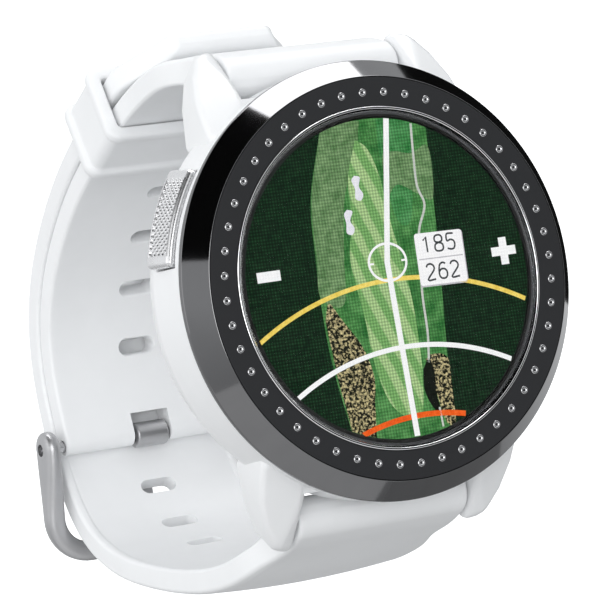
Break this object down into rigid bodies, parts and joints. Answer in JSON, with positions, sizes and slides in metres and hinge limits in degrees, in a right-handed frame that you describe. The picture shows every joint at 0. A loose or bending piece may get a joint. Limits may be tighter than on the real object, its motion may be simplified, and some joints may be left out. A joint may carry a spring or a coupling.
{
  "type": "golf GPS watch",
  "caption": "Round-cased golf GPS watch with a polished bezel, flat dotted insert ring, colour hole-map display, knurled side bar button and buckled silicone strap.",
  "frame": {"origin": "centre of the case back's outer flat, the face that sits on the wrist", "axes": "+X to 3 o'clock, +Z to 12 o'clock, +Y out of the case back into the wrist; the display faces -Y"},
  "size_m": [0.0452, 0.0662, 0.0603],
  "materials": {
    "white_silicone": "matte white silicone",
    "white_polymer": "satin white polymer",
    "back_plastic": "fine matte",
    "polished_gunmetal": "polished dark metal",
    "matte_black": "fine matte black",
    "glass": "clear flat glass",
    "display": "lit display panel",
    "seal_rubber": "black rubber",
    "chassis_plastic": "moulded dark plastic",
    "circuit_board": "green solder mask",
    "chip_black": "moulded black",
    "antenna_ceramic": "matte ceramic",
    "battery_foil": "foil pouch",
    "flex_amber": "amber film",
    "steel": "bright steel",
    "satin_steel": "satin steel",
    "contact_gold": "plated contact",
    "weight_grey": "dull grey metal"
  },
  "bodies": {
    "case": {"battery": "battery_foil", "bezel_insert": "matte_black", "bezel_ring": "polished_gunmetal", "board_screw_1": "steel", "board_screw_2": "steel", "button_seal_1": "seal_rubber", "button_seal_2": "seal_rubber", "button_switch_1": "chip_black", "button_switch_2": "chip_black", "case_back": "back_plastic", "case_back_gasket": "seal_rubber", "case_back_screw_1": "steel", "case_back_screw_2": "steel", "case_back_screw_3": "steel", "case_back_screw_4": "steel", "case_body": "white_polymer", "charging_contact_1": "contact_gold", "charging_contact_2": "contact_gold", "charging_contact_3": "contact_gold", "charging_contact_4": "contact_gold", "crystal": "glass", "crystal_gasket": "seal_rubber", "display_flex": "flex_amber", "display_module": "display", "gps_antenna": "antenna_ceramic", "gps_receiver": "chip_black", "inner_chassis": "chassis_plastic", "main_board": "circuit_board", "shield_can": "steel", "spring_bar_coil_12": "steel", "spring_bar_coil_6": "steel", "spring_bar_tube_12": "steel", "spring_bar_tube_6": "steel", "vibration_motor": "steel"},
    "button": {"button_bar": "satin_steel", "button_clip_1": "steel", "button_clip_2": "steel"},
    "motor_weight": {"vibration_weight": "weight_grey"},
    "buckle_strap": {"strap_buckle_half": "white_silicone"},
    "tail_strap": {"strap_tail_half": "white_silicone"},
    "keeper": {"keeper_loop": "white_silicone"},
    "buckle": {"buckle_frame": "satin_steel", "buckle_pin": "steel"},
    "tongue": {"buckle_tongue": "satin_steel"},
    "bar_tip_12_left": {"spring_bar_tip_12_left": "steel"},
    "bar_tip_12_right": {"spring_bar_tip_12_right": "steel"},
    "bar_tip_6_left": {"spring_bar_tip_6_left": "steel"},
    "bar_tip_6_right": {"spring_bar_tip_6_right": "steel"}
  },
  "joints": [
    {"name": "button_press", "type": "slide", "parent": "case", "child": "button", "axis": [0.9114, 0, -0.4115], "range_m": [0, 0.0006], "stiffness_N_per_m": 2500, "springref_m": -0.0004},
    {"name": "motor_spin", "type": "hinge", "parent": "case", "child": "motor_weight", "pos_m": [0.003, -0.0077, -0.0136], "axis": [1, 0, 0], "continuous": true},
    {"name": "buckle_strap_swing", "type": "hinge", "parent": "case", "child": "buckle_strap", "pos_m": [0, -0.0029, 0.0227], "axis": [1, 0, 0], "range_deg": [0, 55], "deforming": ["strap_buckle_half"]},
    {"name": "tail_strap_swing", "type": "hinge", "parent": "case", "child": "tail_strap", "pos_m": [0, -0.0029, -0.0227], "axis": [-1, 0, 0], "range_deg": [0, 55], "deforming": ["strap_tail_half"]},
    {"name": "keeper_slide", "type": "slide", "parent": "buckle_strap", "child": "keeper", "axis": [0, 0.9067, -0.4217], "range_m": [-0.0015, 0.005]},
    {"name": "buckle_swing", "type": "hinge", "parent": "buckle_strap", "child": "buckle", "pos_m": [0, 0.04683, -0.0118], "axis": [1, 0, 0], "range_deg": [0, 4]},
    {"name": "tongue_swing", "type": "hinge", "parent": "buckle", "child": "tongue", "pos_m": [0, 0.04683, -0.0118], "axis": [1, 0, 0], "range_deg": [0, 3.5]},
    {"name": "bar_tip_12_left_press", "type": "slide", "parent": "case", "child": "bar_tip_12_left", "axis": [1, 0, 0], "range_m": [0, 0.0013], "stiffness_N_per_m": 800, "springref_m": -0.0005, "deforming": ["spring_bar_coil_12"]},
    {"name": "bar_tip_12_right_press", "type": "slide", "parent": "case", "child": "bar_tip_12_right", "axis": [-1, 0, 0], "range_m": [0, 0.0013], "stiffness_N_per_m": 800, "springref_m": -0.0005},
    {"name": "bar_tip_6_left_press", "type": "slide", "parent": "case", "child": "bar_tip_6_left", "axis": [1, 0, 0], "range_m": [0, 0.0013], "stiffness_N_per_m": 800, "springref_m": -0.0005, "deforming": ["spring_bar_coil_6"]},
    {"name": "bar_tip_6_right_press", "type": "slide", "parent": "case", "child": "bar_tip_6_right", "axis": [-1, 0, 0], "range_m": [0, 0.0013], "stiffness_N_per_m": 800, "springref_m": -0.0005}
  ],
  "couplings": [
    {"joint": "tail_strap_swing", "follows": "buckle_strap_swing", "ratio": 1}
  ]
}
